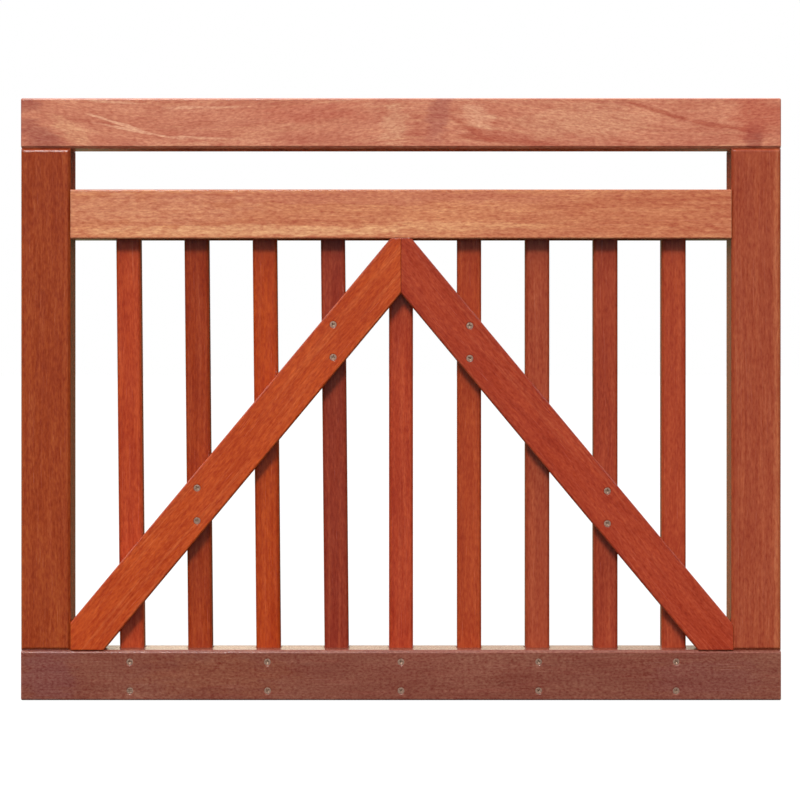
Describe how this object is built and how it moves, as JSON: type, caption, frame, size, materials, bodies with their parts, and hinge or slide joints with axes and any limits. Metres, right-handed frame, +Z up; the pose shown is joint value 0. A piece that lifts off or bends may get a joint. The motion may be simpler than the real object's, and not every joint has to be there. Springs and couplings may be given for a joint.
{
  "type": "wooden garden gate leaf",
  "caption": "Framed garden gate leaf of red hardwood: three rails, two stiles, upright slats and a pair of braces that meet under the middle rail.",
  "frame": {"origin": "centre of the hanging stile's outer side face, halfway up the leaf and halfway through it", "axes": "+X runs across the leaf from the hanging stile to the closing stile, +Y runs from the braced front to the back, and +Z is up"},
  "size_m": [1, 0.045, 0.792],
  "materials": {
    "pale_rail_wood": "planed and oiled, satin",
    "dark_rail_wood": "planed and oiled, satin",
    "stile_wood": "planed and oiled, satin",
    "slat_wood": "planed and oiled, satin",
    "brace_wood": "planed and oiled, satin",
    "screw_steel": "stainless, dull with a countersunk recess"
  },
  "bodies": {
    "root": {"top_rail": "pale_rail_wood", "middle_rail": "pale_rail_wood", "bottom_rail": "dark_rail_wood", "left_stile": "stile_wood", "right_stile": "stile_wood", "slat_1": "slat_wood", "slat_2": "slat_wood", "slat_3": "slat_wood", "slat_4": "slat_wood", "slat_5": "slat_wood", "slat_6": "slat_wood", "slat_7": "slat_wood", "slat_8": "slat_wood", "slat_9": "slat_wood", "left_brace": "brace_wood", "right_brace": "brace_wood"}
  },
  "joints": []
}
